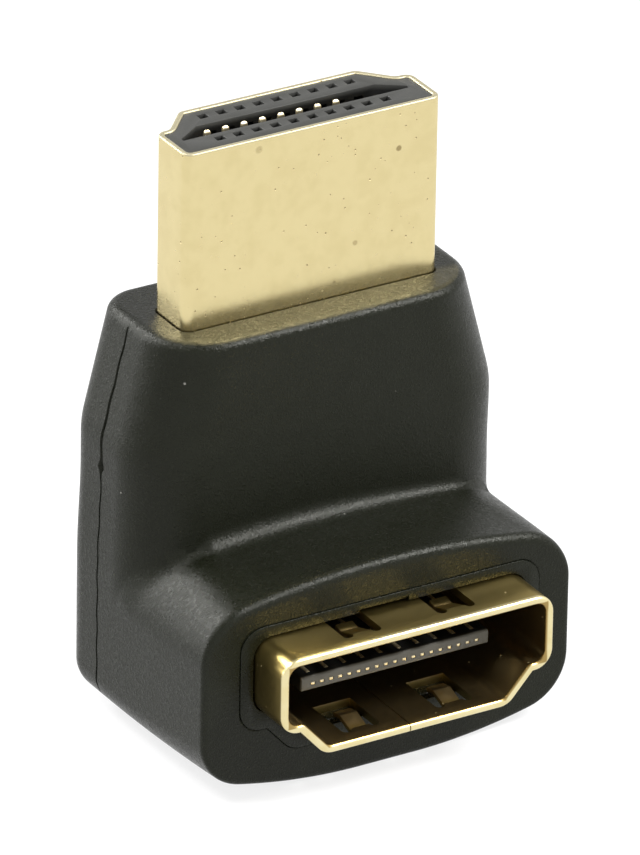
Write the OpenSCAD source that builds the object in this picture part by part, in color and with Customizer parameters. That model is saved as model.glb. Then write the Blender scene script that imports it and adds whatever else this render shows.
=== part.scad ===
// Right-angle adapter for a digital picture cable.
// A flat plug stands on a moulded body, and a socket opens from the body's foot.
// X runs across the adapter, Y from the socket to the back, Z up from the sole.
// Lengths are in millimetres.

/* [Moulded body] */
// Width across the straight sides
body_w = 20.4; // [19.6:0.1:22]
// Height from the sole to the face round the plug
body_h = 20.9; // [20:0.1:24]
// Width of the face round the plug
top_w = 17.1; // [16.4:0.1:18.6]
// Height over which the sides slant in to the top
flare_h = 6.4; // [5:0.1:7.5]
// Height of the soft bend where the slant begins
flare_bend = 1.2; // [0.4:0.1:2]
// How far each side of the stem draws in above the foot
side_draft = 0.16; // [0:0.01:0.3]
// Height over which it draws in, from the foot's shoulders
draft_h = 4.8; // [3:0.1:5.5]
// From the plug's middle to the stem's front, at the top
stem_front = 4.2; // [3.8:0.1:5]
// From the plug's middle to the back
stem_back = 3.4; // [3.2:0.1:5]
// How far the stem's front leans out down to the foot
stem_lean = 0.6; // [0:0.1:1]
// Height of the foot at its crown
foot_h = 11; // [10.2:0.1:12]
// From the plug's middle to the face round the socket
foot_reach = 9.9; // [9:0.1:11]
// Slope of the crown where the shoulders begin, in degrees
crown_slope = 11.5; // [4:0.5:16]
// Slope of the sole where its corners begin, in degrees
sole_slope = 13; // [4:0.5:16]
// Width of the flat land under the sole
sole_flat = 3; // [2:0.1:8]
// Width of the flat along the crown
crown_flat = 0.4; // [0.2:0.1:4]
// Radius of the stem's front corners
front_r = 3.4; // [2.4:0.1:3.6]
// Radius of the back corners
back_r = 1.8; // [1:0.1:1.9]
// Radius of the foot's shoulders
shoulder_r = 2.8; // [2.4:0.1:3.6]
// Radius of the sole's corners at the face round the socket
sole_r = 3.1; // [2.4:0.1:4]
// Radius of the sole's corners from the plug's middle to the back
sole_back_r = 1.8; // [1.6:0.1:3]
// Radius of the fine edges round the plug and the socket
edge_r = 0.45; // [0.2:0.05:0.8]
// Radius of the crease between stem and foot
crease_r = 0.8; // [0.4:0.1:1.2]

/* [Connector outline] */
// Width of the plug across its wide side
hd_w = 13.9; // [13.4:0.05:14.2]
// Height of the plug's outline
hd_h = 4.45; // [4.2:0.05:4.6]
// Height of the outline's straight sides
hd_side = 2.95; // [2.6:0.05:3.2]
// Width where the slanted corners leave the sides
hd_shelf = 12.3; // [11.8:0.1:12.6]
// Width of the narrow side
hd_narrow = 9.6; // [9:0.1:10.2]
// Radius of the outline's corners
hd_r = 0.5; // [0.3:0.05:0.6]

/* [Plug] */
// Length of the plug above the body
plug_len = 9.15; // [8.5:0.05:10]
// Length of the shell inside the body
plug_root = 5; // [4:0.1:5.5]
// Sheet of the plug's shell
plug_wall = 0.28; // [0.2:0.01:0.35]
// Radius of the edges of the plug's rim
plug_rim_r = 0.12; // [0.05:0.01:0.14]
// Depth of the insulator's face below the rim
plug_recess = 0.05; // [0.02:0.01:0.3]
// Length of the insulator below the shell
insulator_drop = 0.4; // [0.2:0.1:0.8]
// Depth of the slot for the mating tongue
slot_depth = 6.6; // [5.5:0.1:7]
// Width of the slot, front to back
slot_t = 1.07; // [0.95:0.01:1.15]
// Length of the slot along its wide edge
slot_w = 12.3; // [11.6:0.1:12.5]
// Length of the slot along its narrow edge
slot_narrow = 9.7; // [9.5:0.1:10.6]
// Pitch of the contacts along each row
plug_pitch = 1; // [0.98:0.01:1.02]
// Width of a contact's chamber
chamber_w = 0.48; // [0.42:0.01:0.55]
// Depth of a chamber's mouth, front to back
chamber_d = 0.45; // [0.3:0.01:0.5]
// From the plug's middle to the front row of mouths
chamber_front = 1.12; // [1.05:0.01:1.45]
// From the plug's middle to the back row of mouths
chamber_back = 1.34; // [1.15:0.01:1.45]
// Width of a plug contact
plug_contact_w = 0.34; // [0.25:0.01:0.38]
// Sheet of a plug contact
plug_contact_t = 0.2; // [0.15:0.01:0.22]
// Depth of the high noses below the insulator's face
nose_high = 0.55; // [0.5:0.05:0.8]
// Depth of the low noses below the insulator's face
nose_low = 1.1; // [0.9:0.05:1.5]
// Gap between the noses of the front row and those of the back row
nose_gap = 0.1; // [0.05:0.01:0.4]
// Count of high noses, from the left end of the front row
high_count = 8; // [1:1:10]

/* [Socket] */
// Height of the socket's middle above the sole
socket_z = 5.56; // [5.4:0.02:5.8]
// From the plug's middle to the socket's rim
socket_reach = 12.56; // [11.6:0.02:13.4]
// Gap round a plug in the socket
mating_gap = 0.07; // [0.05:0.01:0.15]
// Sheet of the socket's shell
socket_wall = 0.42; // [0.3:0.01:0.45]
// Radius of the edges of the socket's rim
socket_rim_r = 0.09; // [0.05:0.01:0.14]
// Width of the folded sheet's seam
seam_gap = 0.05; // [0.03:0.01:0.1]
// Distance of the seam from the middle
seam_x = 0.4; // [0:0.05:0.8]
// Distance of the spring windows from the middle
window_x = 2.57; // [2.2:0.01:3]
// Width of a spring window
window_w = 2.05; // [1.7:0.05:2.3]
// From the rim to the ends of a window's rounded slots
window_front = 0.78; // [0.6:0.02:1]
// From the rim to a spring's root
spring_front = 1.05; // [1.05:0.05:1.2]
// From the rim to a window's back edge
window_back = 3.3; // [3.2:0.1:4.4]
// Width of a spring
spring_w = 0.95; // [0.7:0.05:1.1]
// How far a spring dips into the opening
spring_dip = 0.32; // [0.24:0.02:0.5]
// Length of the end of a spring that turns back up
spring_end = 0.42; // [0.3:0.02:0.6]
// How far that end rises
spring_rise = 0.2; // [0.1:0.02:0.24]
// Gap between a spring's tip and the window's back edge
spring_tip_gap = 0.6; // [0.3:0.05:0.8]
// Sheet of a spring
spring_t = 0.24; // [0.18:0.01:0.3]
// From the rim to the tongue's face
tongue_recess = 2.16; // [1.6:0.02:2.6]
// Width of the tongue
tongue_w = 10.25; // [10:0.05:10.6]
// Thickness of the tongue
tongue_t = 0.72; // [0.66:0.01:0.85]
// Bevel of the tongue's face
tongue_bevel = 0.07; // [0.05:0.01:0.2]
// Depth of the insulator's base, front to back
base_depth = 2.2; // [1.6:0.1:3]
// Gap between the base and the circuit board
base_gap = 0.6; // [0.4:0.1:1]
// Pitch of the contacts across the tongue
socket_pitch = 0.5; // [0.49:0.01:0.51]
// Width of a socket contact
socket_contact_w = 0.25; // [0.18:0.01:0.3]
// Sheet of a socket contact
socket_contact_t = 0.13; // [0.1:0.01:0.15]
// Length of a contact's foot on the board
foot_len = 1.2; // [0.8:0.1:1.3]

/* [Inside the body] */
// Width of the circuit board
board_w = 15; // [13:0.1:15.6]
// Thickness of the circuit board
board_t = 1; // [0.8:0.1:1.2]
// Height of the board's lower edge above the sole
board_low = 3; // [2.8:0.1:4]
// Gap between the plug's insulator and the board
board_gap = 1; // [0.6:0.1:1.4]
// Length of a plug contact's tail on the board
tail_len = 1.6; // [1:0.1:2]
// Wall of the inner moulding round the socket's shell
collar_wall = 0.74; // [0.5:0.01:0.8]
// How far the collar hangs below the shell's middle
collar_drop = 0.12; // [0:0.01:0.2]
// How far the collar stands out from the face round the socket
collar_proud = 0.05; // [0.02:0.01:0.1]
// From the plug's middle to the inner moulding's back
core_back = 2.6; // [2.4:0.05:2.7]
// From the plug's middle to the inner moulding's front
core_front = 2.9; // [2.6:0.1:3.2]
// Wall of the inner moulding beside the circuit board
core_side = 0.8; // [0.5:0.1:0.9]
// Height of the inner moulding above the plug shell's lower end
core_lap = 1.7; // [1:0.1:2]
// Width of the shadow gap round both shells
reveal = 0.06; // [0.05:0.01:0.15]
// Depth of the shadow gap
reveal_depth = 0.4; // [0.2:0.05:0.6]
// Width of the notch over the socket's shell
notch_w = 2.7; // [2:0.1:3.2]
// Rise of the notch where it is deep
notch_h = 0.12; // [0.1:0.01:0.2]
// Rise of the shallow step round the notch
notch_step = 0.29; // [0.24:0.01:0.4]
// Depth of that step
notch_step_depth = 0.12; // [0.08:0.01:0.2]

/* [Hidden] */
CONTACTS = 19;

arc_steps = 7;
least_r = 0.08;
most_r = 1.2;
sliver = 0.02;
proud = 0.01;
over = 1;
spring_seat = 0.15;

// The origin lies under the middle of the outline, so the plug stands behind it.
plug_y = (socket_reach - stem_back) / 2;
rim_y = plug_y - socket_reach;
face_y = plug_y - foot_reach;
back_y = plug_y + stem_back;

// Levels of the plug and of what it reaches inside
tip_z = body_h + plug_len;
face_z = tip_z - plug_recess;
plug_low = body_h - plug_root;
insulator_low = plug_low - insulator_drop;
board_top = insulator_low - board_gap;
tail_low = board_top - tail_len;

// Depths of the socket, from the board's front face
board_face = plug_y - board_t / 2;
shell_len = board_face - rim_y;
base_back = board_face - base_gap;
base_front = base_back - base_depth;
tongue_face = rim_y + tongue_recess;

// Geometry in the plane

function unit(v) = v / norm(v);

function side_of(u, v) = u[0] * v[1] - u[1] * v[0] < 0 ? -1 : 1;

// Moves every edge of an anticlockwise outline outwards by a distance.
function grown(pts, d) = [
    for (i = [0:len(pts) - 1])
        let (
            a = pts[(i + len(pts) - 1) % len(pts)],
            b = pts[i],
            c = pts[(i + 1) % len(pts)],
            u = unit(b - a),
            v = unit(c - b),
            nu = [u[1], -u[0]],
            nv = [v[1], -v[0]]
        )
        b + d * (nu + nv) / (1 + nu * nv)
];

// The arc that rounds corner b of an outline.
function corner_arc(a, b, c, r) =
    let (
        u = unit(b - a),
        v = unit(c - b),
        s = side_of(u, v),
        turn = acos(max(-1, min(1, u * v))),
        start = b - u * r * tan(turn / 2),
        centre = start + s * r * [-u[1], u[0]]
    )
    [
        for (k = [0:arc_steps])
            let (w = s * turn * k / arc_steps, p = start - centre)
            centre + [p[0] * cos(w) - p[1] * sin(w), p[0] * sin(w) + p[1] * cos(w)]
    ];

function rounded(pts, radii) = [
    for (i = [0:len(pts) - 1])
        let (n = len(pts))
        each corner_arc(pts[(i + n - 1) % n], pts[i], pts[(i + 1) % n], radii[i])
];

// The connector's outline: its wide side lies at the low end of the second axis.
hd_points = [
    [-hd_w / 2, -hd_h / 2],
    [hd_w / 2, -hd_h / 2],
    [hd_w / 2, hd_side - hd_h / 2],
    [hd_shelf / 2, hd_side - hd_h / 2],
    [hd_narrow / 2, hd_h / 2],
    [-hd_narrow / 2, hd_h / 2],
    [-hd_shelf / 2, hd_side - hd_h / 2],
    [-hd_w / 2, hd_side - hd_h / 2]
];
hd_bends = [1, 1, 1, -1, 1, 1, -1, 1];

function hd_outline(d) = rounded(
    grown(hd_points, d),
    [for (s = hd_bends) max(least_r, min(most_r, hd_r + s * d))]
);

// Solids from rings of points

function flat_list(rings) = [for (r = rings) each r];

function ring_faces(n, lower, upper) = [
    for (i = [0:n - 1])
        let (j = (i + 1) % n)
        each [
            [lower * n + i, upper * n + j, lower * n + j],
            [lower * n + i, upper * n + i, upper * n + j]
        ]
];

// A closed solid through rings that run anticlockwise, seen from the last ring.
module loft(rings) {
    n = len(rings[0]);
    m = len(rings);
    polyhedron(
        flat_list(rings),
        concat(
            [for (k = [0:m - 2]) each ring_faces(n, k, k + 1)],
            [[for (i = [0:n - 1]) i]],
            [[for (i = [n - 1:-1:0]) (m - 1) * n + i]]
        ),
        convexity = 6
    );
}

// A tube of sheet: each section point is [growth of the outline, distance along it].
module sheet_tube(section) {
    rings = [for (s = section) [for (p = hd_outline(s[0])) [p[0], p[1], s[1]]]];
    n = len(rings[0]);
    m = len(rings);
    polyhedron(
        flat_list(rings),
        [for (k = [0:m - 1]) each ring_faces(n, k, (k + 1) % m)],
        convexity = 8
    );
}

// Section of a shell: both edges of its rim are rounded.
rim_steps = 3;

function shell_section(grow, wall, low, high, rim_r) =
    let (
        r = min(rim_r, wall / 2 - proud),
        turn = [for (k = [0:rim_steps]) 90 * k / rim_steps]
    )
    concat(
        [[grow, low]],
        [for (a = turn) [grow - r + r * cos(a), high - r + r * sin(a)]],
        [for (a = turn) [grow - wall + r - r * sin(a), high - r + r * cos(a)]],
        [[grow - wall, low]]
    );

// A strip of sheet that follows a path in the plane and has a width across it.
function strip_normal(path, i) =
    let (
        a = path[max(0, i - 1)],
        b = path[i],
        c = path[min(len(path) - 1, i + 1)],
        u = unit(i == 0 ? c - b : b - a),
        v = unit(i == len(path) - 1 ? b - a : c - b),
        nu = [-u[1], u[0]],
        nv = [-v[1], v[0]]
    )
    (nu + nv) / (1 + nu * nv);

module strip(path, t, w) {
    last = len(path) - 1;
    rotate([90, 0, 90])
        translate([0, 0, -w / 2])
            linear_extrude(w)
                polygon(concat(
                    [for (i = [0:last]) path[i] + strip_normal(path, i) * t / 2],
                    [for (i = [last:-1:0]) path[i] - strip_normal(path, i) * t / 2]
                ));
}

// Solids of one connector outline, stood on the plug's axis or laid on the socket's

module on_plug() {
    translate([0, plug_y, 0])
        children();
}

// Local Z runs from the board's face out to the rim, and the wide side lies on top.
module on_socket() {
    translate([0, board_face, socket_z])
        rotate([90, 0, 0])
            mirror([0, 1, 0])
                children();
}

module hd_prism(grow, low, high) {
    translate([0, 0, low])
        linear_extrude(high - low)
            polygon(hd_outline(grow));
}

// The moulded body

// Half of an arch: a flat, a crown that steepens to a slope, and a corner.
function arch(flat, slope, r, w) =
    let (
        x1 = w / 2 - r * (1 - sin(slope)),
        rise = tan(slope) * (x1 - flat / 2) / 2
    )
    concat(
        [
            for (k = [0:arc_steps])
                let (t = k / arc_steps)
                [flat / 2 + t * (x1 - flat / 2), rise * t * t]
        ],
        [
            for (k = [1:arc_steps])
                let (a = slope + (90 - slope) * k / arc_steps)
                [x1 + r * (sin(a) - sin(slope)), rise + r * (cos(slope) - cos(a))]
        ]
    );

// Right half of the foot's outline, from the sole up to the crown.
function foot_half(d, r) = concat(
    [for (p = arch(sole_flat, sole_slope, max(least_r, r - d), body_w - 2 * d)) [p[0], d + p[1]]],
    let (top = arch(crown_flat, crown_slope, shoulder_r - d, body_w - 2 * d))
    [for (i = [len(top) - 1:-1:0]) [top[i][0], foot_h - d - top[i][1]]]
);

// The sole's corners open out from the plug's middle to the face, ever faster.
function sole_corner(y) =
    let (t = min(1, max(0, (plug_y - y) / foot_reach)))
    sole_back_r + (sole_r - sole_back_r) * t * t;

function foot_ring(d, y) =
    let (half = foot_half(d, sole_corner(y)))
    concat(
        [for (p = half) [p[0], y, p[1]]],
        [for (i = [len(half) - 1:-1:0]) [-half[i][0], y, half[i][1]]]
    );

// Steps that round an end edge: each is [distance from the end, inset of the outline].
function end_round(r) = [
    for (k = [0:arc_steps])
        let (a = 90 * k / arc_steps)
        [r * (1 - sin(a)), r * (1 - cos(a))]
];

foot_steps = 4;

module foot() {
    front = end_round(edge_r);
    back = end_round(back_r);
    loft(concat(
        [for (k = [arc_steps:-1:0]) foot_ring(back[k][1], back_y - back[k][0])],
        [for (k = [0:foot_steps - 1]) foot_ring(0, plug_y - foot_reach * k / foot_steps)],
        [for (k = [0:arc_steps]) foot_ring(front[k][1], face_y + front[k][0])]
    ));
}

// Plan of the stem: two front corners and two back corners.
function stem_plan(w, front, d) =
    let (
        x = w / 2 - d,
        f = plug_y - front + d,
        b = back_y - d,
        rf = front_r - d,
        rb = max(least_r, back_r - d)
    )
    rounded([[-x, f], [x, f], [x, b], [-x, b]], [rf, rf, rb, rb]);

// Width of the stem: a soft draft above the foot, and a bend that leads to a straight slant.
draft_low = foot_h - shoulder_r;
draft_top = min(draft_low + draft_h, body_h - flare_h);

function side_width(z) =
    let (
        t = min(1, max(0, (z - draft_low) / (draft_top - draft_low))),
        drafted = body_w - 2 * side_draft * t * t * (3 - 2 * t),
        up = max(0, z - body_h + flare_h),
        slant = (body_w - 2 * side_draft - top_w) / (flare_h - flare_bend / 2)
    )
    drafted - slant * (up < flare_bend ? up * up / (2 * flare_bend) : up - flare_bend / 2);

function front_at(z) =
    stem_front + stem_lean * min(1, max(0, (body_h - z) / (body_h - foot_h)));

// The stem starts inside the foot, well below its shoulders.
stem_low = foot_h - 2 * shoulder_r;
draft_steps = 6;
bend_steps = 4;
stem_steps = 3;

module stem() {
    top = end_round(edge_r);
    slant_low = body_h - flare_h + flare_bend;
    levels = concat(
        [stem_low],
        [for (k = [0:draft_steps - 1]) draft_low + (draft_top - draft_low) * k / draft_steps],
        [for (k = [0:bend_steps]) slant_low - flare_bend + flare_bend * k / bend_steps],
        [for (k = [1:stem_steps]) slant_low + (body_h - edge_r - slant_low) * k / stem_steps]
    );
    loft(concat(
        [for (z = levels) [for (p = stem_plan(side_width(z), front_at(z), 0)) [p[0], p[1], z]]],
        [
            for (k = [1:arc_steps])
                let (z = body_h - top[k][0])
                [for (p = stem_plan(side_width(z), front_at(z), top[k][1])) [p[0], p[1], z]]
        ]
    ));
}

// How far the foot's top lies below its crown at a distance from the middle.
function crown_drop(x) =
    let (
        cx = body_w / 2 - shoulder_r,
        x1 = cx + shoulder_r * sin(crown_slope),
        rise = tan(crown_slope) * x1 / 2,
        u = min(abs(x), body_w / 2 - sliver)
    )
    u <= x1
        ? rise * u * u / (x1 * x1)
        : rise + shoulder_r * cos(crown_slope) - sqrt(shoulder_r * shoulder_r - pow(u - cx, 2));

// Stations along the crease: each is [point on the stem, outward direction, radius].
function crease_stations() =
    let (
        cx = side_width(foot_h) / 2 - front_r,
        y = plug_y - stem_front - stem_lean,
        most = 70,
        corner = [
            for (k = [0:arc_steps])
                let (a = most * k / arc_steps)
                [
                    [cx + front_r * sin(a), y + front_r * (1 - cos(a))],
                    [sin(a), -cos(a)],
                    crease_r * (1 - pow(a / (most + 6), 2))
                ]
        ],
        flat = [for (k = [-4:4]) [[cx * k / 5, y], [0, -1], crease_r]]
    )
    concat(
        [for (k = [arc_steps:-1:0]) let (c = corner[k]) [[-c[0][0], c[0][1]], [-c[1][0], c[1][1]], c[2]]],
        flat,
        corner
    );

// Fillet in the inner corner where the stem stands on the foot.
module crease() {
    bury = 0.6;
    lean = stem_lean / (body_h - foot_h);
    steps = 6;
    loft([
        for (s = crease_stations())
            let (
                r = s[2],
                curve = concat(
                    [[-bury, r + sliver]],
                    [
                        for (k = [0:steps])
                            let (a = 90 * k / steps, v = r * (1 - sin(a)))
                            [r * (1 - cos(a)) - v * lean - (k == 0 ? sliver : 0), v]
                    ],
                    [[r, -bury], [-bury, -bury]]
                )
            )
            [
                for (q = curve)
                    let (x = s[0][0] + s[1][0] * q[0])
                    [x, s[0][1] + s[1][1] * q[0], foot_h - crown_drop(x) + q[1]]
            ]
    ]);
}

// Outer form of the inner moulding: a collar round the socket and a core round the board.
core_w = board_w + 2 * core_side;
core_low = socket_z - hd_h / 2 - mating_gap - socket_wall - collar_wall - collar_drop;
core_high = plug_low + core_lap;

module inner_form() {
    translate([0, 0, -collar_drop])
        on_socket()
            hd_prism(mating_gap + socket_wall + collar_wall, 0, board_face - face_y + collar_proud);
    translate([-core_w / 2, plug_y - core_front, core_low])
        cube([core_w, core_front + core_back, core_high - core_low]);
}

module overmould_body() {
    color([0.14, 0.14, 0.13])
        difference() {
            union() {
                stem();
                foot();
                crease();
            }
            inner_form();
            on_plug() {
                hd_prism(-plug_wall, insulator_low, body_h);
                hd_prism(0, plug_low, body_h + over);
                hd_prism(reveal, body_h - reveal_depth, body_h + over);
            }
        }
}

// The notch lies over the seam: it is deep next to the shell and has a shallow step above.
module notch() {
    for (size = [[notch_h, reveal_depth], [notch_step, notch_step_depth]])
        translate([-seam_x - notch_w / 2, face_y - over, socket_z])
            cube([notch_w, over + size[1], hd_h / 2 + mating_gap + socket_wall + size[0]]);
}

module inner_mould() {
    shell = mating_gap + socket_wall;
    mouth = board_face - face_y;
    color([0.18, 0.18, 0.17])
        difference() {
            inner_form();
            on_plug() {
                hd_prism(0, plug_low, core_high + over);
                hd_prism(-plug_wall, insulator_low, core_high);
            }
            on_socket() {
                hd_prism(shell, 0, mouth + over);
                hd_prism(shell + reveal, mouth - reveal_depth, mouth + over);
            }
            notch();
            circuit_board();
            for (i = [1:CONTACTS])
                plug_contact(i);
        }
}

module circuit_board() {
    color([0.1, 0.32, 0.18])
        translate([-board_w / 2, board_face, board_low])
            cube([board_w, board_t, board_top - board_low]);
}

// The plug

module plug_shell() {
    color([0.86, 0.77, 0.5])
        on_plug()
            sheet_tube(shell_section(0, plug_wall, plug_low, tip_z, plug_rim_r));
}

// Odd contacts stand in the front row and even ones in the back row.
function plug_contact_x(i) = (i - (CONTACTS + 1) / 2) * plug_pitch / 2;

function row_side(i) = i % 2 == 1 ? -1 : 1;

function chamber_y(i) = row_side(i) * (row_side(i) < 0 ? chamber_front : chamber_back);

// The slot's edge towards the front row lies a little further out than the other.
slot_middle = -0.035;
slot_corner = 0.2;

module plug_slot() {
    front = slot_middle - slot_t / 2;
    back = slot_middle + slot_t / 2;
    translate([0, 0, face_z - slot_depth])
        linear_extrude(slot_depth + over)
            polygon([
                [-slot_narrow / 2, back],
                [-slot_w / 2, front + slot_corner],
                [-slot_w / 2, front],
                [slot_w / 2, front],
                [slot_w / 2, front + slot_corner],
                [slot_narrow / 2, back]
            ]);
}

// A chamber's mouth in the face, and the channel below it that opens into the slot.
chamber_lip = 0.45;

module plug_chamber(i) {
    depth = slot_depth - chamber_w;
    y = chamber_y(i);
    far = abs(y) + chamber_d / 2;
    translate([plug_contact_x(i) - chamber_w / 2, y - chamber_d / 2, face_z - depth])
        cube([chamber_w, chamber_d, depth + over]);
    translate([plug_contact_x(i) - chamber_w / 2, row_side(i) > 0 ? 0 : -far, face_z - depth])
        cube([chamber_w, far, depth - chamber_lip]);
}

module plug_insulator() {
    color([0.3, 0.3, 0.29])
        difference() {
            on_plug()
                difference() {
                    hd_prism(-plug_wall, insulator_low, face_z);
                    plug_slot();
                    for (i = [1:CONTACTS])
                        plug_chamber(i);
                }
            for (i = [1:CONTACTS])
                plug_contact(i);
        }
}

// A spring contact: a tail on the board, a post in the insulator and a beam whose nose
// bows into the slot, below a tip that leans back.
nose_len = 0.25;
tip_rise = 0.4;
tip_lean = 0.1;
beam_low = 1.6;
knee = 0.3;

function nose_depth(i) = i % 2 == 1 && i < 2 * high_count ? nose_high : nose_low;

module plug_contact(i) {
    s = row_side(i);
    tail = board_t / 2 + plug_contact_t / 2;
    post = abs(chamber_y(i)) - plug_contact_t / 2;
    nose = (nose_gap + plug_contact_t) / 2;
    nose_z = face_z - nose_depth(i);
    path = [
        [tail, tail_low],
        [tail, insulator_low - knee],
        [post, insulator_low + 2 * knee],
        [post, face_z - slot_depth + beam_low],
        [nose, nose_z - nose_len],
        [nose, nose_z],
        [nose + tip_lean, nose_z + tip_rise]
    ];
    color([0.9, 0.8, 0.5])
        translate([plug_contact_x(i), plug_y, 0])
            strip([for (p = path) [s * p[0], p[1]]], plug_contact_t, plug_contact_w);
}

// The socket

// Plan of a window: two slots with round ends, joined behind the spring's tip.
module window_plan() {
    side_w = (window_w - spring_w) / 2 - sliver;
    front = shell_len - window_front - side_w / 2;
    root = shell_len - spring_front;
    back = shell_len - window_back;
    for (s = [-1, 1])
        translate([s * (window_w - side_w) / 2, 0]) {
            translate([-side_w / 2, back])
                square([side_w, front - back]);
            translate([0, front])
                circle(d = side_w, $fn = 24);
        }
    translate([-window_w / 2, back])
        square([window_w, root - back]);
}

// A spring in a window's place: it dips behind its root and its tip curls back up.
module socket_spring() {
    top = hd_h / 2 + mating_gap + socket_wall - spring_t / 2 - sliver;
    root = rim_y + spring_front;
    tip = rim_y + window_back - spring_tip_gap;
    path = [
        [root - spring_seat, top],
        [root + sliver, top],
        [tip - spring_end, top - spring_dip],
        [tip, top - spring_dip + spring_rise]
    ];
    strip(path, spring_t, spring_w);
}

module socket_shell() {
    outer = mating_gap + socket_wall;
    color([0.8, 0.7, 0.42]) {
        difference() {
            on_socket()
                sheet_tube(shell_section(outer, socket_wall, 0, shell_len, socket_rim_r));
            for (x = [-window_x, window_x])
                translate([x, board_face, socket_z - hd_h])
                    mirror([0, 1, 0])
                        linear_extrude(2 * hd_h)
                            window_plan();
            translate([-seam_x - seam_gap / 2, rim_y - over, socket_z - hd_h])
                cube([seam_gap, shell_len + 2 * over, hd_h]);
        }
        for (x = [-window_x, window_x])
            translate([x, 0, socket_z]) {
                socket_spring();
                mirror([0, 0, 1])
                    socket_spring();
            }
    }
}

function socket_contact_x(i) = (i - (CONTACTS + 1) / 2) * socket_pitch;

// A contact lies in a groove of the tongue, its nib shows a little below the middle of
// the tongue's face, and its foot lies on the board.
nib_len = 0.17;
nib_drop = 0.04;
nib_ramp = 0.34;
foot_rise = 0.75;

module socket_contact(i) {
    s = -row_side(i);
    skin = (tongue_t - socket_contact_t) / 2 + proud;
    foot_y = board_face - socket_contact_t / 2;
    bend_y = base_back + base_gap / 3;
    path = [
        [tongue_face - proud, -s * nib_drop],
        [tongue_face - proud + nib_len, -s * nib_drop],
        [tongue_face - proud + nib_len + nib_ramp, skin],
        [bend_y, skin],
        [bend_y, foot_rise],
        [foot_y, foot_rise],
        [foot_y, foot_rise + foot_len]
    ];
    color([0.85, 0.75, 0.45])
        translate([socket_contact_x(i), 0, socket_z])
            strip([for (p = path) [p[0], s * p[1]]], socket_contact_t, socket_contact_w);
}

module socket_insulator() {
    half = tongue_t / 2;
    root = base_front + base_depth / 4;
    color([0.42, 0.42, 0.42])
        difference() {
            union() {
                on_socket()
                    hd_prism(mating_gap, board_face - base_back, board_face - base_front);
                translate([-tongue_w / 2, 0, socket_z])
                    rotate([90, 0, 90])
                        linear_extrude(tongue_w)
                            polygon([
                                [root, -half],
                                [root, half],
                                [tongue_face + tongue_bevel, half],
                                [tongue_face, half - tongue_bevel],
                                [tongue_face, tongue_bevel - half],
                                [tongue_face + tongue_bevel, -half]
                            ]);
            }
            for (i = [1:CONTACTS])
                socket_contact(i);
        }
}

overmould_body();
inner_mould();
circuit_board();
plug_shell();
plug_insulator();
socket_shell();
socket_insulator();
for (i = [1:CONTACTS])
    plug_contact(i);
for (i = [1:CONTACTS])
    socket_contact(i);
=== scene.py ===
import math

import bmesh
import bpy
import numpy as np
from mathutils import Matrix, Vector


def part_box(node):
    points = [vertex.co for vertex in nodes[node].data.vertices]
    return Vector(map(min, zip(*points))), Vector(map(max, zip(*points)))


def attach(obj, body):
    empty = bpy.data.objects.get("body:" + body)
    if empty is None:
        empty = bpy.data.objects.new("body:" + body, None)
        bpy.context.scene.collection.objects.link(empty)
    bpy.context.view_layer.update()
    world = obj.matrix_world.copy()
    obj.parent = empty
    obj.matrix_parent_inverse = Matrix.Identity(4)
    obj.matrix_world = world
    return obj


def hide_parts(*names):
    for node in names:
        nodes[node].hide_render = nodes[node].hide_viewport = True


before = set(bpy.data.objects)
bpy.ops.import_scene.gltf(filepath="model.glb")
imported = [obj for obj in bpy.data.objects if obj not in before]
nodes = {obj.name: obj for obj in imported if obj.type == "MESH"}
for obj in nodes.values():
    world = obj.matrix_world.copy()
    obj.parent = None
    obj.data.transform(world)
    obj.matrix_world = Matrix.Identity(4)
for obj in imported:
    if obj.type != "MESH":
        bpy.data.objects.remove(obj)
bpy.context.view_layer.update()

millimetre = 0.001
print("frame loaded:", len(nodes), "nodes")


def boxOf(name):  # lowest and highest corner of a node, in millimetres
    low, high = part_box(name)
    return np.array(low) / millimetre, np.array(high) / millimetre


bodyLow, bodyHigh = boxOf("overmould_body")
plugLow, plugHigh = boxOf("plug_shell")
socketLow, socketHigh = boxOf("socket_shell")
boardLow, boardHigh = boxOf("circuit_board")
insulatorLow, insulatorHigh = boxOf("plug_insulator")
tongueLow = boxOf("socket_insulator")[0]

plugY = (plugLow[1] + plugHigh[1]) / 2
socketZ = (socketLow[2] + socketHigh[2]) / 2
rimY = socketLow[1]
faceY = bodyLow[1]
boardFace = boardLow[1]


# Camera: fitted to the plug's and the socket's corners, in degrees and millimetres

camera = {
    "azimuth": -31.08,
    "elevation": 26.709,
    "roll": 1.004,
    "distance": 526.27,
    "aim": (-0.907, -0.072, 15.561),
    "lens": 470.48,
    "sensor": 36.0,
    "clip": (0.01, 50),  # metres
}


def makeCamera():
    az, el, roll = (math.radians(camera[k]) for k in ("azimuth", "elevation", "roll"))
    back = Vector((math.sin(az) * math.cos(el), -math.cos(az) * math.cos(el), math.sin(el)))
    right = Vector((math.cos(az), math.sin(az), 0))
    up = back.cross(right)
    side = right * math.cos(roll) + up * math.sin(roll)
    top = up * math.cos(roll) - right * math.sin(roll)
    data = bpy.data.cameras.new("camera")
    data.lens = camera["lens"]
    data.sensor_width = camera["sensor"]
    data.clip_start, data.clip_end = camera["clip"]
    holder = bpy.data.objects.new("camera", data)
    bpy.context.scene.collection.objects.link(holder)
    place = (Vector(camera["aim"]) + back * camera["distance"]) * millimetre
    turn = Matrix((side, top, back)).transposed().to_4x4()
    holder.matrix_world = Matrix.Translation(place) @ turn
    bpy.context.scene.camera = holder


makeCamera()
print("camera placed")


# Meshes in millimetres, turned to metres when they are finished

def newPiece(name, points, faces):
    mesh = bpy.data.meshes.new(name)
    mesh.from_pydata([tuple(p) for p in points], [], [tuple(f) for f in faces])
    mesh.validate()
    piece = bpy.data.objects.new(name, mesh)
    bpy.context.scene.collection.objects.link(piece)
    return piece


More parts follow.
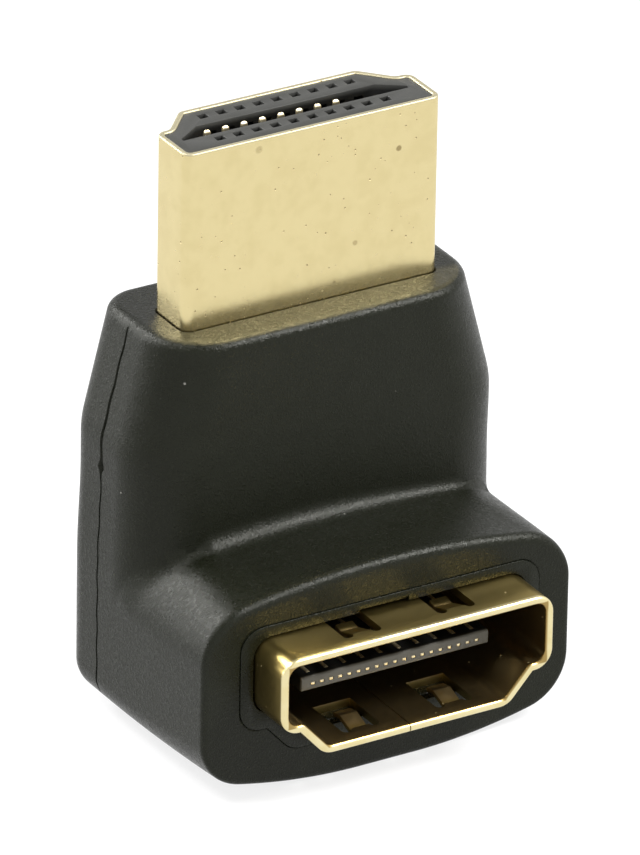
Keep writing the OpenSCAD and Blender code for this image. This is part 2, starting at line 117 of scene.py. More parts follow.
def ringPiece(name, rings, closed=False):  # equal rings of points joined in order, with filled ends
    count, rows = len(rings[0]), len(rings)
    faces = []
    for k in range(rows if closed else rows - 1):
        a, b = k * count, (k + 1) % rows * count
        faces += [(a + i, a + (i + 1) % count, b + (i + 1) % count, b + i) for i in range(count)]
    if not closed:
        faces += [tuple(reversed(range(count))), tuple(range((rows - 1) * count, rows * count))]
    return newPiece(name, [p for r in rings for p in r], faces)


def slabPiece(name, plan, low, high):  # a plan in X and Y given a height
    return ringPiece(name, [[(x, y, z) for x, y in plan] for z in (low, high)])


def blockPiece(name, low, high):
    (a, b, c), (d, e, f) = low, high
    return slabPiece(name, [(a, b), (d, b), (d, e), (a, e)], c, f)


def gather(name, pieces):  # several closed pieces in one mesh
    joined = bmesh.new()
    for piece in pieces:
        joined.from_mesh(piece.data)
    mesh = bpy.data.meshes.new(name)
    joined.to_mesh(mesh)
    joined.free()
    for piece in pieces:
        bpy.data.objects.remove(piece)
    whole = bpy.data.objects.new(name, mesh)
    bpy.context.scene.collection.objects.link(whole)
    return whole


def turnOutwards(piece, merge=1e-5):
    mesh = bmesh.new()
    mesh.from_mesh(piece.data)
    bmesh.ops.remove_doubles(mesh, verts=mesh.verts, dist=merge)
    bmesh.ops.recalc_face_normals(mesh, faces=mesh.faces)
    mesh.to_mesh(piece.data)
    mesh.free()


def bake(piece):  # applies the modifiers and keeps a plain mesh
    depsgraph = bpy.context.evaluated_depsgraph_get()
    mesh = bpy.data.meshes.new_from_object(piece.evaluated_get(depsgraph))
    old = piece.data
    piece.modifiers.clear()
    piece.data = mesh
    mesh.name = piece.name
    if old.users == 0:
        bpy.data.meshes.remove(old)


def cut(piece, tool, operation="DIFFERENCE"):
    modifier = piece.modifiers.new("cut", "BOOLEAN")
    modifier.operation = operation
    modifier.solver = "MANIFOLD"
    modifier.object = tool
    bake(piece)
    bpy.data.objects.remove(tool)


def finishPiece(piece, slot, material, sharp, *stoodFor):  # sharp: least angle of a hard edge
    mesh = piece.data
    mesh.transform(Matrix.Scale(millimetre, 4))
    mesh.materials.clear()
    mesh.materials.append(material)
    mesh.polygons.foreach_set("use_smooth", [True] * len(mesh.polygons))
    mesh.set_sharp_from_angle(angle=math.radians(sharp))
    mesh.update()
    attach(piece, "root")
    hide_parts(*stoodFor)
    print(piece.name, "finished:", len(mesh.polygons), "faces")


# The connector: its outline has the wide side at the low end of the second axis

outline = {
    "width": 13.9,
    "height": 4.45,
    "side": 2.95,
    "shelf": 12.3,
    "narrow": 9.6,
    "radius": 0.5,
    "leastRadius": 0.06,
    "mostRadius": 1.2,
    "cornerSteps": 10,
    "gap": 0.07,  # between the plug's outline and the socket's opening
    "plugSheet": 0.28,
    "socketSheet": 0.42,
}


def outlineCorners():
    w, h, n, s = (outline[k] / 2 for k in ("width", "height", "narrow", "shelf"))
    ledge = outline["side"] - h
    return [(-w, -h), (w, -h), (w, ledge), (s, ledge), (n, h), (-n, h), (-s, ledge), (-w, ledge)]


def outlineRing(grow):  # anticlockwise ring of rounded corners, moved out by grow
    corners = [np.array(c) for c in outlineCorners()]
    count, steps = len(corners), outline["cornerSteps"]
    moved = []
    for i, b in enumerate(corners):
        u = b - corners[i - 1]
        v = corners[(i + 1) % count] - b
        u, v = u / np.linalg.norm(u), v / np.linalg.norm(v)
        n, m = np.array([u[1], -u[0]]), np.array([v[1], -v[0]])
        moved.append((b + grow * (n + m) / (1 + n @ m), u, v))
    ring = []
    for b, u, v in moved:
        side = math.copysign(1, u[0] * v[1] - u[1] * v[0])
        radius = min(outline["mostRadius"], max(outline["leastRadius"], outline["radius"] + side * grow))
        turn = math.acos(max(-1, min(1, u @ v)))
        start = b - u * radius * math.tan(turn / 2)
        centre = start + side * radius * np.array([-u[1], u[0]])
        arm = start - centre
        for k in range(steps + 1):
            a = side * turn * k / steps
            c, s = math.cos(a), math.sin(a)
            ring.append(centre + np.array([arm[0] * c - arm[1] * s, arm[0] * s + arm[1] * c]))
    return ring


def onPlug(x, y, z):
    return (x, plugY + y, z)


def onSocket(x, y, z):  # z runs from the board's face out to the rim
    return (x, boardFace - z, socketZ - y)


def sweepOutline(name, section, place, closed=False):
    # section: points of [growth of the outline, distance along it]
    rings = [[place(p[0], p[1], d) for p in outlineRing(g)] for g, d in section]
    piece = ringPiece(name, rings, closed)
    turnOutwards(piece)
    return piece


# Node trees and the shader groups that the materials share

class Graph:  # short words for building a node tree
    def __init__(self, tree):
        self.tree = tree

    def link(self, a, b):
        self.tree.links.new(a, b)

    def fill(self, node, given):  # given: an input's name or number, and a value or a socket
        for key, value in given.items():
            if isinstance(value, bpy.types.NodeSocket):
                self.link(value, node.inputs[key])
            else:
                node.inputs[key].default_value = value

    def node(self, kind, given=None, **settings):
        made = self.tree.nodes.new(kind)
        for key, value in settings.items():
            setattr(made, key, value)
        self.fill(made, given or {})
        return made

    def math(self, operation, *values):
        return self.node("ShaderNodeMath", dict(enumerate(values)), operation=operation).outputs[0]

    def noise(self, vector, scale, detail=2.0, roughness=0.5, output="Fac"):
        given = {"Vector": vector, "Scale": scale, "Detail": detail, "Roughness": roughness}
        return self.node("ShaderNodeTexNoise", given).outputs[output]

    def ramp(self, value, low, high):  # 0 at low, 1 at high, smooth between
        given = {"Value": value, "From Min": low, "From Max": high}
        return self.node("ShaderNodeMapRange", given, interpolation_type="SMOOTHSTEP").outputs["Result"]

    def mixColour(self, factor, a, b):
        return self.node("ShaderNodeMix", {0: factor, 6: a, 7: b}, data_type="RGBA").outputs[2]

    def axis(self, vector, index):
        return self.node("ShaderNodeSeparateXYZ", {0: vector}).outputs[index]

    def millimetres(self):  # object coordinates in millimetres
        where = self.node("ShaderNodeTexCoord").outputs["Object"]
        given = {0: where, "Scale": 1 / millimetre}
        return self.node("ShaderNodeVectorMath", given, operation="SCALE").outputs[0]

    def bump(self, height, depth):
        return self.node("ShaderNodeBump", {"Height": height, "Distance": depth * millimetre}).outputs[0]

    def place(self, group, vector, given):
        made = self.node("ShaderNodeGroup", node_tree=group)
        self.fill(made, {"Vector": vector, **given})
        return made.outputs


def newGroup(name, inputs, outputs, kind="ShaderNodeTree"):  # a socket: name, kind and any value
    group = bpy.data.node_groups.new(name, kind)
    for direction, sockets in (("INPUT", inputs), ("OUTPUT", outputs)):
        for label, socketKind, *value in sockets:
            socketKind = "NodeSocket" + socketKind
            made = group.interface.new_socket(name=label, in_out=direction, socket_type=socketKind)
            if value:
                made.default_value = value[0]
    graph = Graph(group)
    return graph, graph.node("NodeGroupInput").outputs, graph.node("NodeGroupOutput").inputs


grain = {
    "detail": 3.0,
    "roughness": 0.6,
    "ridges": 2.0,
    "waveCells": 0.35,
    "patchCells": 0.9,
}


def makeGrainGroup():  # spark-eroded mould texture: worm-like ridges over soft undulation
    graph, given, out = newGroup(
        "mouldGrain",
        [("Vector", "Vector"), ("Cells per mm", "Float", 4.5), ("Waviness", "Float", 0.5)],
        [("Height", "Float"), ("Patch", "Float")],
    )
    where = given["Vector"]
    fine = graph.noise(where, given["Cells per mm"], grain["detail"], grain["roughness"])
    worms = graph.math("MULTIPLY", graph.math("ABSOLUTE", graph.math("SUBTRACT", fine, 0.5)), grain["ridges"])
    wide = graph.noise(where, grain["waveCells"])
    graph.link(graph.math("MULTIPLY_ADD", wide, given["Waviness"], worms), out["Height"])
    graph.link(graph.noise(where, grain["patchCells"], grain["detail"]), out["Patch"])
    return graph.tree


def scatter(graph, vector, density, size, least, share):  # spots of mixed size in a share of cells
    cells = graph.node("ShaderNodeTexVoronoi", {"Vector": vector, "Scale": density}, feature="F1")
    chance = graph.node("ShaderNodeSeparateColor", {0: cells.outputs["Color"]}).outputs
    kept = graph.math("LESS_THAN", chance[0], share)
    size = graph.math("MULTIPLY", size, graph.math("ADD", chance[1], least))
    return cells.outputs["Distance"], size, kept


leastSpeck = 0.3  # smallest speck, as a share of the given size


def makeDustGroup():  # sparse specks
    graph, given, out = newGroup(
        "dust",
        [
            ("Vector", "Vector"),
            ("Specks per mm", "Float", 0.9),
            ("Size", "Float", 0.045),
            ("Share", "Float", 0.3),
        ],
        [("Mask", "Float")],
    )
    density, full, share = given["Specks per mm"], given["Size"], given["Share"]
    distance, size, kept = scatter(graph, given["Vector"], density, full, leastSpeck, share)
    graph.link(graph.math("MULTIPLY", graph.math("LESS_THAN", distance, size), kept), out["Mask"])
    return graph.tree


pits = {
    "warpCells": 6.0,
    "warp": (0.08, 0.08, 0.08),
    "least": 0.35,
    "edge": (1.0, 0.55),
    "clusterCells": 0.28,
    "clusterEdge": (0.36, 0.6),
}


def makePitGroup():  # ragged pinholes that come in clusters
    graph, given, out = newGroup(
        "platingPits",
        [
            ("Vector", "Vector"),
            ("Pits per mm", "Float", 2.4),
            ("Size", "Float", 0.12),
            ("Share", "Float", 0.12),
        ],
        [("Mask", "Float"), ("Height", "Float")],
    )
    where = given["Vector"]
    warp = graph.noise(where, pits["warpCells"], output="Color")
    warped = {0: warp, 1: pits["warp"], 2: where}
    ragged = graph.node("ShaderNodeVectorMath", warped, operation="MULTIPLY_ADD").outputs[0]
    cluster = graph.ramp(graph.noise(where, pits["clusterCells"], 1.0), *pits["clusterEdge"])
    share = graph.math("MULTIPLY", given["Share"], cluster)
    density, full = given["Pits per mm"], given["Size"]
    distance, size, kept = scatter(graph, ragged, density, full, pits["least"], share)
    inside = graph.ramp(graph.math("DIVIDE", distance, size), *pits["edge"])
    mask = graph.math("MULTIPLY", inside, kept)
    graph.link(mask, out["Mask"])
    graph.link(graph.math("MULTIPLY", mask, -1.0), out["Height"])
    return graph.tree


grainGroup = makeGrainGroup()
dustGroup = makeDustGroup()
pitGroup = makePitGroup()


# Finishes

def newMaterial(name):
    material = bpy.data.materials.new(name)
    material.use_nodes = True
    graph = Graph(material.node_tree)
    shader = material.node_tree.nodes["Principled BSDF"]
    return material, graph, shader


moulding = {
    "colour": (0.004, 0.0047, 0.0019, 1),
    "worn": (0.0065, 0.0074, 0.004, 1),
    "dust": (0.16, 0.155, 0.14, 1),
    # painted reflection: the gold plug's tint on the black top face in front of it
    "goldReflection": (0.064, 0.056, 0.028, 1),
    "goldReflectionCells": 2.5,
    "goldReflectionFront": (0.6, -0.2),  # behind the plug's front
    "goldReflectionTop": (-0.1, -0.02),  # above the body's top
    "roughness": 0.04,
    "glints": 0.4,
    "glintCells": 4.5,
    "patchRough": 0.1,
    "dustRough": 0.4,
    "specular": 0.2,
    "tint": (1, 1, 0.93, 1),
    "grain": {"Cells per mm": 6.0, "Waviness": 0.5},
    "grainDepth": 0.03,
}


def makeMoulding(name, dustShare):  # with a painted reflection of the gold plug on the top face, in front of the plug
    m = moulding
    material, graph, shader = newMaterial(name)
    where = graph.millimetres()
    rough = graph.place(grainGroup, where, m["grain"])
    specks = graph.place(dustGroup, where, {"Share": dustShare})["Mask"]
    # painted reflection of the gold plug, strongest on the top face just in front of it, ragged by noise
    near = graph.ramp(graph.axis(where, 1), *(plugLow[1] + d for d in m["goldReflectionFront"]))
    high = graph.ramp(graph.axis(where, 2), *(bodyHigh[2] + d for d in m["goldReflectionTop"]))
    reflectionMask = graph.noise(where, m["goldReflectionCells"], detail=3.0)
    reflectionMask = graph.math("MULTIPLY", graph.math("MULTIPLY", near, high), reflectionMask)
    base = graph.mixColour(rough["Patch"], m["colour"], m["worn"])
    base = graph.mixColour(reflectionMask, base, m["goldReflection"])
    glints = graph.noise(where, m["glintCells"])
    matt = graph.math("MULTIPLY_ADD", glints, m["glints"], m["roughness"])
    matt = graph.math("MULTIPLY_ADD", rough["Patch"], m["patchRough"], matt)
    graph.fill(shader, {
        "Base Color": graph.mixColour(specks, base, m["dust"]),
        "Roughness": graph.math("MULTIPLY_ADD", specks, m["dustRough"], matt),
        "Specular IOR Level": m["specular"],
        "Specular Tint": m["tint"],
        "Normal": graph.bump(rough["Height"], m["grainDepth"]),
    })
    return material


plating = {
    "pit": (0.38, 0.31, 0.17, 1),
    "pitRough": 0.5,
    "toneCells": 1.1,
    "toneEdge": (0.35, 0.75),
    "fineCells": 3.0,
    "fineRough": 0.12,
    "waves": 0.25,
    "waveCells": 1.2,
    "depth": 0.01,
}


def makePlating(name, colour, deep, roughness, pitShare, ageAndShade=None):
    p = plating
    material, graph, shader = newMaterial(name)
    where = graph.millimetres()
    holes = graph.place(pitGroup, where, {"Share": pitShare})
    tone = graph.ramp(graph.noise(where, p["toneCells"], detail=4.0), *p["toneEdge"])
    base, matt = graph.mixColour(tone, colour, deep), 0.0
    if ageAndShade is not None:
        base, matt = ageAndShade(graph, where, base)
    fine = graph.noise(where, p["fineCells"], detail=4.0)
    spread = graph.math("MULTIPLY_ADD", fine, p["fineRough"], roughness - p["fineRough"] / 2)
    spread = graph.math("MULTIPLY_ADD", holes["Mask"], p["pitRough"], spread)
    waves = graph.math("MULTIPLY_ADD", graph.noise(where, p["waveCells"]), p["waves"], holes["Height"])
    graph.fill(shader, {
        "Base Color": graph.mixColour(holes["Mask"], base, p["pit"]),
        "Roughness": graph.math("ADD", spread, matt),
        "Metallic": 1.0,
        "Normal": graph.bump(waves, p["depth"]),
    })
    return material


plugAge = {
    "brownTone": (0.34, 0.26, 0.12, 1),
    "baseBrown": 0.4,
    "baseBrownHeight": 1.4,
    "baseBrownRagged": 0.9,
    "baseBrownCells": 1.8,
    "marks": (  # X, Z, radius, strength
        (4.62, 27.85, 0.19, 0.85),
        (-3.03, 29.5, 0.24, 0.4),
        (2.3, 23.45, 0.17, 0.5),
        (1.2, 21.65, 0.1, 0.5),
    ),
    "markCore": 0.5,
    "markRagged": (0.5, 0.75),
    "markCells": 5.0,
    "rim": (0.42, 0.39, 0.28, 1),
    "rimEdge": (-0.12, -0.03),
    "rimWear": (0.5, 0.6),
    "rimCells": 3.0,
    "rimRough": 0.3,
}


def agePlug(graph, where, base):  # browner close to the moulding, with a few marks and a worn rim
    p = plugAge
    ragged = graph.noise(where, p["baseBrownCells"], detail=4.0)
    height = graph.math("MULTIPLY_ADD", ragged, p["baseBrownRagged"], graph.axis(where, 2))
    baseBrown = graph.ramp(height, bodyHigh[2] + p["baseBrownHeight"], bodyHigh[2])
    brownMask = graph.math("MULTIPLY", baseBrown, p["baseBrown"])
    ragged = graph.math("MULTIPLY_ADD", graph.noise(where, p["markCells"], detail=3.0), *p["markRagged"])
    for x, z, radius, strength in p["marks"]:
        ends = {0: where, 1: (x, plugLow[1], z)}
        reach = graph.node("ShaderNodeVectorMath", ends, operation="DISTANCE").outputs["Value"]
        spot = graph.ramp(graph.math("MULTIPLY", reach, ragged), radius, radius * p["markCore"])
        brownMask = graph.math("MAXIMUM", brownMask, graph.math("MULTIPLY", spot, strength))
    base = graph.mixColour(brownMask, base, p["brownTone"])
    rim = graph.ramp(graph.axis(where, 2), *(plugHigh[2] + d for d in p["rimEdge"]))
    worn = graph.math("MULTIPLY_ADD", graph.noise(where, p["rimCells"], detail=3.0), *p["rimWear"])
    base = graph.mixColour(graph.math("MULTIPLY", rim, worn), base, p["rim"])
    return base, graph.math("MULTIPLY", rim, p["rimRough"])


socketToneAndShade = {
    "outside": (0.37, 0.28, 0.095, 1),
    # painted shade: dark brown on the walls inside the opening
    "inside": (0.45, 0.33, 0.15, 1),
    "insideEdge": (0.1, 0.0),
    "border": (0.4, 0.28, 0.1, 1),
    "borderEdge": (0.11, 0.04),
    "behindRim": (0.1, 0.3),
}


def beyondOutline(graph, where):  # distance outwards from the socket's outline
    w, h, n, s = (outline[k] / 2 for k in ("width", "height", "narrow", "shelf"))
    ledge = outline["side"] - h
    across = graph.math("ABSOLUTE", graph.axis(where, 0))
    down = graph.math("SUBTRACT", float(socketZ), graph.axis(where, 2))
    slant = math.hypot(s - n, h - ledge)
    a, b = (h - ledge) / slant, (s - n) / slant
    tilted = graph.math("MULTIPLY_ADD", down, b, -a * s - b * ledge)
    tilted = graph.math("MULTIPLY_ADD", across, a, tilted)
    step = graph.math("MINIMUM", graph.math("SUBTRACT", down, ledge), tilted)
    flats = graph.math("SUBTRACT", graph.math("ABSOLUTE", down), h)
    sides = graph.math("SUBTRACT", across, w)
    return graph.math("MAXIMUM", graph.math("MAXIMUM", step, flats), sides)


def toneAndShadeSocket(graph, where, base):  # darker behind the rim and browner at its inner edge, with painted shade inside the opening
    p = socketToneAndShade
    behind = graph.ramp(graph.axis(where, 1), *(rimY + d for d in p["behindRim"]))
    base = graph.mixColour(behind, base, p["outside"])
    beyond = beyondOutline(graph, where)
    border = graph.ramp(beyond, *(outline["gap"] + d for d in p["borderEdge"]))
    base = graph.mixColour(border, base, p["border"])
    # painted shade on the walls inside the opening, behind the rim
    wall = graph.ramp(beyond, *(outline["gap"] + d for d in p["insideEdge"]))
    return graph.mixColour(graph.math("MULTIPLY", wall, behind), base, p["inside"]), 0.0


insulating = {
    # painted shade in the recesses below and behind the insulators' faces
    "deep": (0.004, 0.004, 0.0035, 1),
    "roughness": 0.4,
    "patchRough": 0.15,
    "specular": 0.3,
    "grain": {"Cells per mm": 7.0, "Waviness": 0.3},
    "grainDepth": 0.008,
    "specks": {"Specks per mm": 1.6, "Size": 0.05, "Share": 0.12},
}


def makeInsulator(name, colour, pale, axis, edge, depth):  # with painted shade: darker away from its face, past the edge
    i = insulating
    material, graph, shader = newMaterial(name)
    where = graph.millimetres()
    rough = graph.place(grainGroup, where, i["grain"])
    specks = graph.place(dustGroup, where, i["specks"])["Mask"]
    base = graph.mixColour(rough["Patch"], colour, pale)
    base = graph.mixColour(specks, base, moulding["dust"])
    # painted shade away from the face: into the plug's slot and chambers, and behind the tongue's face
    paintedShade = graph.ramp(graph.axis(where, axis), edge, edge + depth)
    graph.fill(shader, {
        "Base Color": graph.mixColour(paintedShade, base, i["deep"]),
        "Roughness": graph.math("MULTIPLY_ADD", rough["Patch"], i["patchRough"], i["roughness"]),
        "Specular IOR Level": i["specular"],
        "Normal": graph.bump(rough["Height"], i["grainDepth"]),
    })
    return material


lacquer = {
    "weave": {
        "Color1": (0.012, 0.09, 0.035, 1),
        "Color2": (0.02, 0.12, 0.05, 1),
        "Mortar": (0.008, 0.06, 0.025, 1),
        "Scale": 2.5,
    },
    "roughness": 0.25,
    "patchRough": 0.1,
    "patchCells": 2.0,
}


def makeBoardLacquer():
    material, graph, shader = newMaterial("boardLacquer")
    where = graph.millimetres()
    weave = graph.node("ShaderNodeTexBrick", {"Vector": where, **lacquer["weave"]})
    patches = graph.noise(where, lacquer["patchCells"])
    graph.fill(shader, {
        "Base Color": weave.outputs["Color"],
        "Roughness": graph.math("MULTIPLY_ADD", patches, lacquer["patchRough"], lacquer["roughness"]),
    })
    return material


blackMoulding = makeMoulding("blackMoulding", dustShare=0.28)
innerBlack = makeMoulding("innerBlack", dustShare=0.2)
plugGold = makePlating(
    "plugGold", colour=(0.81, 0.69, 0.37, 1), deep=(0.77, 0.65, 0.34, 1),
    roughness=0.25, pitShare=0.9, ageAndShade=agePlug,
)
socketGold = makePlating(
    "socketGold", colour=(0.87, 0.77, 0.45, 1), deep=(0.82, 0.7, 0.36, 1),
    roughness=0.31, pitShare=0.3, ageAndShade=toneAndShadeSocket,
)
contactGold = makePlating(
    "contactGold", colour=(0.96, 0.85, 0.58, 1), deep=(0.92, 0.78, 0.48, 1),
    roughness=0.4, pitShare=0.0,
)
plugGrey = makeInsulator(
    "plugGrey", colour=(0.024, 0.024, 0.022, 1), pale=(0.042, 0.042, 0.038, 1),
    axis=2, edge=insulatorHigh[2] - 0.03, depth=-0.3,
)
socketGrey = makeInsulator(
    "socketGrey", colour=(0.07, 0.067, 0.056, 1), pale=(0.1, 0.095, 0.079, 1),
    axis=1, edge=tongueLow[1] + 0.06, depth=0.15,
)
boardLacquer = makeBoardLacquer()
print("finishes made")


# The moulded body: one surface where a rule for the stem and one for the foot meet

body = {
    "width": bodyHigh[0] - bodyLow[0],
    "height": bodyHigh[2],
    "back": bodyHigh[1],
    "topWidth": 17.1,
    "flareHeight": 6.4,
    "flareBend": 1.2,
    "sideDraft": 0.16,
    "draftLow": 8.2,
    "draftHigh": 13.0,
    "stemFront": 4.2,
    "stemLean": 0.42,
    "stemLow": 5.4,
    "footHeight": 10.8,
    "crownSlope": (5.0, 10.5),
    "crownFlat": 0.4,
    "soleSlope": 13.0,
    "soleFlat": 3.0,
    "frontRadius": (3.4, 3.25),
    "backRadius": 1.8,
    "shoulderRadius": (3.6, 2.8),
    "soleRadius": (1.6, 2.7),
    "edgeRadius": 0.45,
    "sideEdgeRadius": 0.2,
    "sideEdge": (7.6, 9.6),
    "creaseRadius": 0.85,
    "cornerCrease": 0.36,
    "outerCrease": 0.75,
    "creaseTurns": (1.0, 11.0, 55.0),  # degrees round the corner: narrowing, narrowest, open again
    "creaseEnd": 84.0,
    "creaseTaper": (1.0, 0.55),
    "taperEnds": (-2.0, 9.0),
    "rightTuck": 0.024,
    "tuckFade": (9.0, 15.0),
    "roughLow": 2.0,
    "cell": 0.16,
    "settleRounds": (8, 2),  # at first, and after each evening round
    "evenRounds": 8,
    "evenShare": 0.6,
    "sharp": 38,
}
stemY = plugY - body["stemFront"] - body["stemLean"]  # the stem's front where it meets the foot


def roundMeet(a, b, r):  # the part inside both a and b, rounded where they meet
    inner = np.minimum(np.maximum(a, b) + r, 0)
    return np.hypot(np.maximum(a + r, 0), np.maximum(b + r, 0)) + inner - r


def roundJoin(a, b, r):  # either a or b, with a fillet between them
    return np.maximum(r, np.minimum(a, b)) - np.hypot(np.maximum(r - a, 0), np.maximum(r - b, 0))


def smooth(value, start, end):  # 0 at the start, 1 at the end, level at both
    t = np.clip((value - start) / (end - start), 0, 1)
    return t * t * (3 - 2 * t)


def between(pair, share):
    return pair[0] + (pair[1] - pair[0]) * share


def sideRule(z):  # half width of the stem: a draft above the foot, then a bend into a slant
    b = body
    bend = b["flareBend"]
    half = b["width"] / 2 - b["sideDraft"] * smooth(z, b["draftLow"], b["draftHigh"])
    up = np.maximum(z - b["height"] + b["flareHeight"], 0)
    slant = (b["width"] / 2 - b["sideDraft"] - b["topWidth"] / 2) / (b["flareHeight"] - bend / 2)
    return half - slant * np.where(up < bend, up**2 / (2 * bend), up - bend / 2)


def creaseRule(x, turn):  # the fillet narrows where the corner starts, then opens out
    b = body
    first, narrow, opened = b["creaseTurns"]
    fillet = b["creaseRadius"] + (b["cornerCrease"] - b["creaseRadius"]) * smooth(turn, first, narrow)
    fillet = fillet + (b["outerCrease"] - b["cornerCrease"]) * smooth(turn, narrow, opened)
    return fillet * between(b["creaseTaper"], smooth(x, *b["taperEnds"]))


def stemRule(x, y, z):
    b = body
    down = np.clip((b["height"] - z) / (b["height"] - b["footHeight"]), 0, 1)
    front = plugY - b["stemFront"] - b["stemLean"] * down
    middle, half = (front + b["back"]) / 2, (b["back"] - front) / 2
    lowRadius, highRadius = b["frontRadius"]
    radius = np.where(y < middle, highRadius + (lowRadius - highRadius) * down, b["backRadius"])
    across = np.abs(x) - sideRule(z) + radius
    along = np.abs(y - middle) - half + radius
    plan = np.hypot(np.maximum(across, 0), np.maximum(along, 0))
    plan = plan + np.minimum(np.maximum(across, along), 0) - radius
    turn = np.degrees(np.arctan2(np.maximum(across, 0), np.maximum(along, 0)))
    fade = np.where(y < middle, np.clip(1 - (turn / b["creaseEnd"]) ** 4, 0, 1), 0)
    plan = np.maximum(plan, b["stemLow"] - z)
    return roundMeet(plan, z - b["height"], b["edgeRadius"]), creaseRule(x, turn) * fade


def archRule(x, depth, flat, slope, radius):  # depth is measured in from the middle of the arch
    half = body["width"] / 2
    s = np.radians(slope)
    bend = half - radius * (1 - np.sin(s))
    rise = np.tan(s) * (bend - flat / 2) / 2
    run = np.maximum(x - flat / 2, 0)
    bow = rise / (bend - flat / 2) ** 2
    steep = np.arctan(np.minimum(2 * bow * run, np.tan(s)))
    drop = np.where(x < bend, bow * run**2, rise + np.tan(s) * (x - bend))
    out, over = x - (half - radius), rise + radius * np.cos(s) - depth
    around = np.arctan2(out, over)
    crown = (drop - depth) * np.cos(steep)
    corner = np.hypot(out, over) - radius
    return np.where(over <= 0, x - half, np.where(around > s, corner, crown))


def footRule(x, y, z):
    b = body
    ax = np.abs(x)
    opened = np.clip((plugY - y) / (plugY - faceY), 0, 1) ** 2
    sole = archRule(ax, z, b["soleFlat"], b["soleSlope"], between(b["soleRadius"], opened))
    reach = smooth(y, stemY, faceY)  # the crown arches and its shoulders tighten towards the face
    slope, radius = between(b["crownSlope"], reach), between(b["shoulderRadius"], reach)
    crown = archRule(ax, b["footHeight"] - z, b["crownFlat"], slope, radius)
    shape = np.where(z > b["footHeight"] / 2, crown, sole)
    edge = between((b["sideEdgeRadius"], b["edgeRadius"]), smooth(z, *b["sideEdge"]))
    shape = roundMeet(shape, faceY - y, edge)
    return roundMeet(shape, y - b["back"], b["backRadius"])


def bodyRule(p):
    x, y, z = p.T
    tuck = body["rightTuck"] * (1 - smooth(z, *body["tuckFade"]))  # the foot is slimmer on the right
    x = np.where(x > 0, x * (1 + tuck), x)
    stem, fillet = stemRule(x, y, z)
    joined = roundJoin(stem, footRule(x, y, z), fillet)
    return np.maximum(joined, np.abs(x) - body["width"] / 2)


def slopeOf(rule, p, step=2e-3):
    slope = np.empty_like(p)
    for axis in range(3):
        shift = np.zeros(3)
        shift[axis] = step
        slope[:, axis] = (rule(p + shift) - rule(p - shift)) / (2 * step)
    return slope


def settle(rule, p, rounds, most=0.5):  # walks each point down the slope to the surface
    for _ in range(rounds):
        slope = slopeOf(rule, p)
        size = np.maximum((slope**2).sum(1), 0.05)
        step = (rule(p) / size)[:, None] * slope
        length = np.linalg.norm(step, axis=1, keepdims=True)
        p = p - step * np.minimum(1, most / np.maximum(length, 1e-9))
    return p


def roughBody():  # a plain solid near the body, remeshed into even cells
    b = body
    half, back = b["width"] / 2, b["back"]
    levels = (b["roughLow"], half), (b["height"] - b["flareHeight"], half), (b["height"], b["topWidth"] / 2)
    rings = [[(-w, stemY, z), (w, stemY, z), (w, back, z), (-w, back, z)] for z, w in levels]
    foot = blockPiece("foot", (-half, faceY, 0), (half, back, b["footHeight"]))
    piece = gather("body", [ringPiece("stem", rings), foot])
    remesh = piece.modifiers.new("cells", "REMESH")
    remesh.mode = "VOXEL"
    remesh.voxel_size = b["cell"]
    bake(piece)
    return piece


def relax(mesh, rule):  # settles the cells on the surface and evens them out along it
    count = len(mesh.vertices)
    p = np.empty(count * 3)
    mesh.vertices.foreach_get("co", p)
    first, after = body["settleRounds"]
    p = settle(rule, p.reshape(-1, 3), first)
    edges = np.empty(len(mesh.edges) * 2, int)
    mesh.edges.foreach_get("vertices", edges)
    a, b = edges.reshape(-1, 2).T
    degree = np.bincount(a, minlength=count) + np.bincount(b, minlength=count)
    for _ in range(body["evenRounds"]):
        total = np.empty_like(p)
        for axis in range(3):
            total[:, axis] = np.bincount(a, p[b, axis], count) + np.bincount(b, p[a, axis], count)
        pull = total / degree[:, None] - p
        slope = slopeOf(rule, p)
        slope /= np.maximum(np.linalg.norm(slope, axis=1, keepdims=True), 1e-9)
        pull -= (pull * slope).sum(1, keepdims=True) * slope
        p = settle(rule, p + body["evenShare"] * pull, after)
    mesh.vertices.foreach_set("co", p.ravel())
    mesh.update()


mouth = {
    "collar": 0.74,
    "drop": 0.12,
    "bevel": 0.05,
    "coreBack": 2.6,
    "coreFront": 2.9,
    "coreSide": 0.8,
    "coreLap": 1.7,
    "reveal": 0.06,
    "revealDepth": 0.4,
}


def hollowBody(piece):  # the seats of the inner moulding and the plug
    m = mouth
    grow = outline["gap"] + outline["socketSheet"] + m["collar"]
    depth = boardFace - faceY
    section = [(grow, 0), (grow, depth - m["bevel"]), (grow + m["bevel"] * 2, depth + m["bevel"])]

    def dropped(x, y, z):
        return onSocket(x, y + m["drop"], z)

    cut(piece, sweepOutline("seat", section, dropped))
    coreLow = socketZ - outline["height"] / 2 - grow - m["drop"]
    halfCore = (boardHigh[0] - boardLow[0]) / 2 + m["coreSide"]
    low = (-halfCore, plugY - m["coreFront"], coreLow)
    high = (halfCore, plugY + m["coreBack"], plugLow[2] + m["coreLap"])
    cut(piece, blockPiece("core", low, high))
    top, gap, sheet = body["height"], m["reveal"], outline["plugSheet"]
    section = [
        (-sheet, insulatorLow[2]),
        (-sheet, plugLow[2]),
        (0, plugLow[2]),
        (0, top - m["revealDepth"]),
        (gap, top - m["revealDepth"]),
        (gap, top - gap / 2),
        (gap * 2, top + gap / 2),
    ]
    cut(piece, sweepOutline("plugSeat", section, onPlug))


